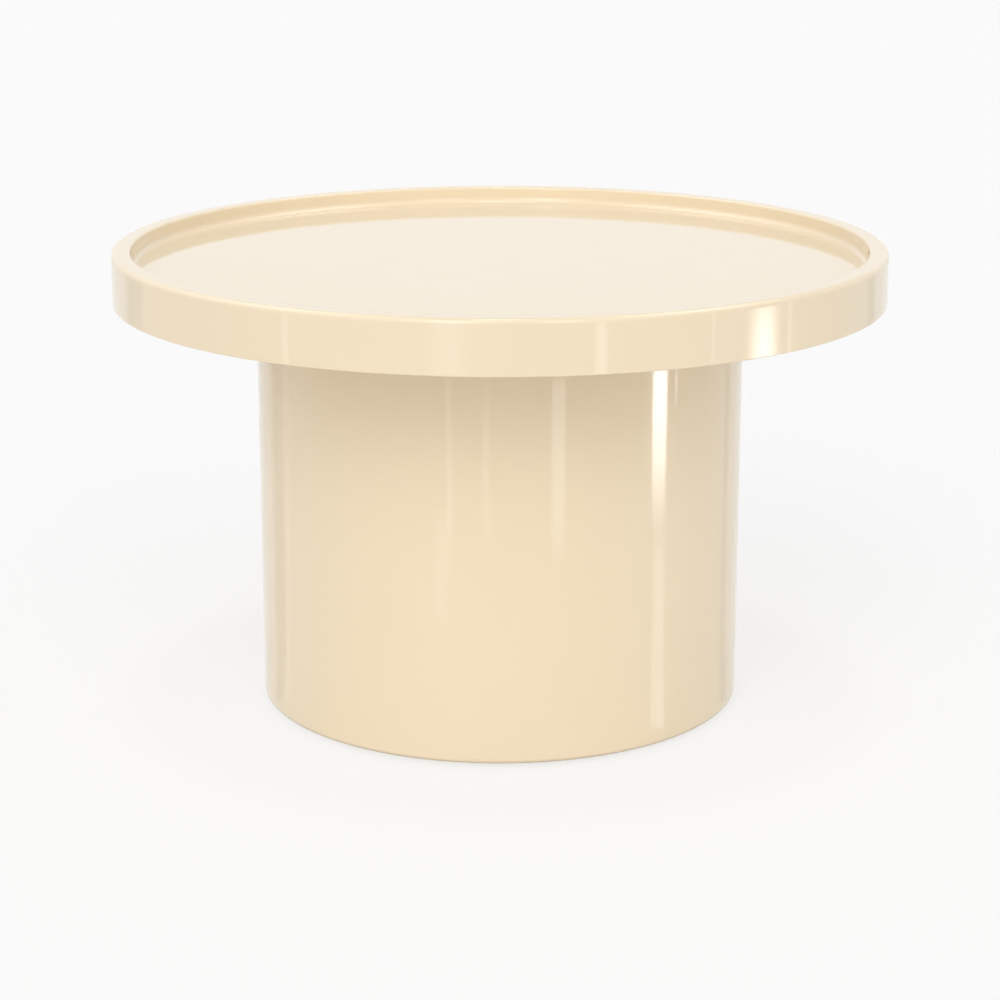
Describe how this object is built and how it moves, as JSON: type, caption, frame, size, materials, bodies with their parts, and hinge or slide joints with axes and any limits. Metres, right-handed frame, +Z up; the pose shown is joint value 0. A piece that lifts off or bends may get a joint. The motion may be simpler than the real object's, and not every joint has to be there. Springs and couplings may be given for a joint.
{
  "type": "round side table",
  "caption": "Low round side table: a glossy lacquered tray top with an upright rim, bolted to a hollow round drum on screw levelling feet.",
  "frame": {"origin": "on the floor under the middle of the drum", "axes": "+Z up, +X to the right and +Y away from the viewer; the table is round about Z"},
  "size_m": [0.5999, 0.6, 0.363],
  "materials": {
    "lacquer": "board with a high-gloss cream lacquer",
    "plywood": "raw birch plywood",
    "pine": "raw planed softwood",
    "zinc_steel": "zinc plated steel",
    "nylon": "black nylon, fine grain"
  },
  "bodies": {
    "table": {"rim_hoop": "lacquer", "tray_panel": "lacquer", "drum_shell": "lacquer", "mounting_disc": "plywood", "top_former": "plywood", "middle_former": "plywood", "bottom_former": "plywood", "upright_1": "pine", "upright_2": "pine", "upright_3": "pine", "upright_4": "pine", "upright_5": "pine", "upright_6": "pine", "panel_screws": "zinc_steel", "bolt_inserts": "zinc_steel", "upright_screws": "zinc_steel", "connecting_bolts": "zinc_steel", "bolt_washers": "zinc_steel", "foot_inserts": "zinc_steel"},
    "foot_1": {"foot_1_pad": "nylon"},
    "stem_1": {"foot_1_stem": "zinc_steel"},
    "foot_2": {"foot_2_pad": "nylon"},
    "stem_2": {"foot_2_stem": "zinc_steel"},
    "foot_3": {"foot_3_pad": "nylon"},
    "stem_3": {"foot_3_stem": "zinc_steel"},
    "foot_4": {"foot_4_pad": "nylon"},
    "stem_4": {"foot_4_stem": "zinc_steel"}
  },
  "joints": [
    {"name": "foot_1_travel", "type": "slide", "parent": "table", "child": "foot_1", "axis": [0, 0, -1], "range_m": [0, 0.0101]},
    {"name": "foot_1_turn", "type": "hinge", "parent": "foot_1", "child": "stem_1", "pos_m": [0.10677, 0.10677, 0.011], "axis": [0, 0, -1], "range_deg": [0, 2880]},
    {"name": "foot_2_travel", "type": "slide", "parent": "table", "child": "foot_2", "axis": [0, 0, -1], "range_m": [0, 0.0101]},
    {"name": "foot_2_turn", "type": "hinge", "parent": "foot_2", "child": "stem_2", "pos_m": [-0.10677, 0.10677, 0.011], "axis": [0, 0, -1], "range_deg": [0, 2880]},
    {"name": "foot_3_travel", "type": "slide", "parent": "table", "child": "foot_3", "axis": [0, 0, -1], "range_m": [0, 0.0101]},
    {"name": "foot_3_turn", "type": "hinge", "parent": "foot_3", "child": "stem_3", "pos_m": [-0.10677, -0.10677, 0.011], "axis": [0, 0, -1], "range_deg": [0, 2880]},
    {"name": "foot_4_travel", "type": "slide", "parent": "table", "child": "foot_4", "axis": [0, 0, -1], "range_m": [0, 0.0101]},
    {"name": "foot_4_turn", "type": "hinge", "parent": "foot_4", "child": "stem_4", "pos_m": [0.10677, -0.10677, 0.011], "axis": [0, 0, -1], "range_deg": [0, 2880]}
  ],
  "couplings": [
    {"joint": "foot_1_travel", "follows": "foot_1_turn", "m_per_rad": 0.00019894},
    {"joint": "foot_2_travel", "follows": "foot_2_turn", "m_per_rad": 0.00019894},
    {"joint": "foot_3_travel", "follows": "foot_3_turn", "m_per_rad": 0.00019894},
    {"joint": "foot_4_travel", "follows": "foot_4_turn", "m_per_rad": 0.00019894}
  ]
}
